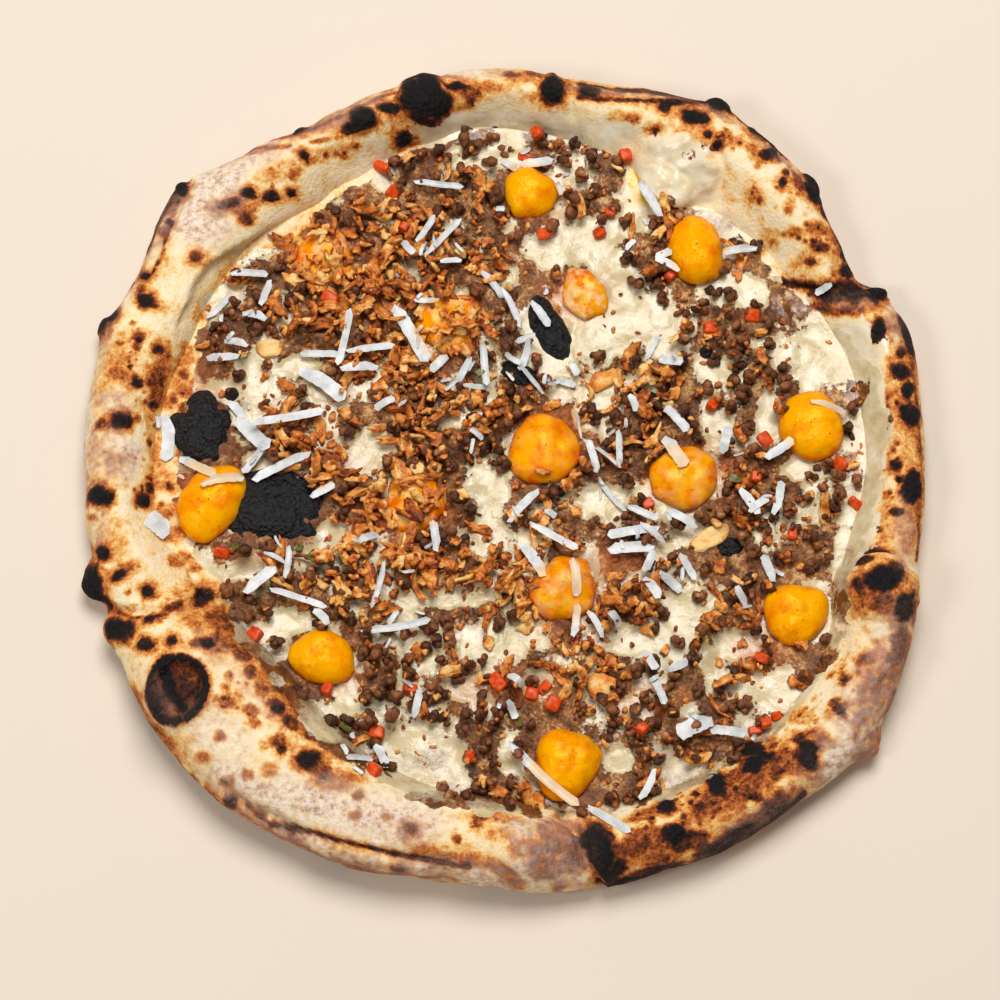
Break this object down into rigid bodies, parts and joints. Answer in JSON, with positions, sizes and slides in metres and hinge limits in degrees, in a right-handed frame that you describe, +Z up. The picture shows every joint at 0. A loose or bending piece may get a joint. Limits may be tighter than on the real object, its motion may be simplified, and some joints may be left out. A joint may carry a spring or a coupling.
{
  "type": "pork ragu pizza",
  "caption": "Round pork ragu pizza with a puffed, charred and folded rim, melted cheese, minced pork, fried onion, shaved cheese and dollops of yellow sauce.",
  "frame": {"origin": "on the surface that the pizza lies on, under the middle of its outline", "axes": "+Z up out of the topping, +X to the right and +Y to the far side as the picture shows it"},
  "size_m": [0.3024, 0.3058, 0.0286],
  "materials": {
    "baked_dough": "matte, blistered and charred",
    "cheese_and_ragu": "satin, oily",
    "yellow_sauce": "glossy, thick",
    "fried_shallot": "dry, crisp"
  },
  "bodies": {
    "root": {"crust": "baked_dough", "topping_bed": "cheese_and_ragu", "sauce_dollop_01": "yellow_sauce", "sauce_dollop_02": "yellow_sauce", "sauce_dollop_03": "yellow_sauce", "sauce_dollop_04": "yellow_sauce", "sauce_dollop_05": "yellow_sauce", "sauce_dollop_06": "yellow_sauce", "sauce_dollop_07": "yellow_sauce", "sauce_dollop_08": "yellow_sauce", "sauce_dollop_09": "yellow_sauce", "sauce_dollop_10": "yellow_sauce", "sauce_dollop_11": "yellow_sauce", "sauce_dollop_12": "yellow_sauce", "sauce_dollop_13": "yellow_sauce", "sauce_dollop_14": "yellow_sauce", "shallot_crisp_1": "fried_shallot", "shallot_crisp_2": "fried_shallot", "shallot_crisp_3": "fried_shallot", "shallot_crisp_4": "fried_shallot", "shallot_crisp_5": "fried_shallot", "shallot_crisp_6": "fried_shallot"}
  },
  "joints": []
}
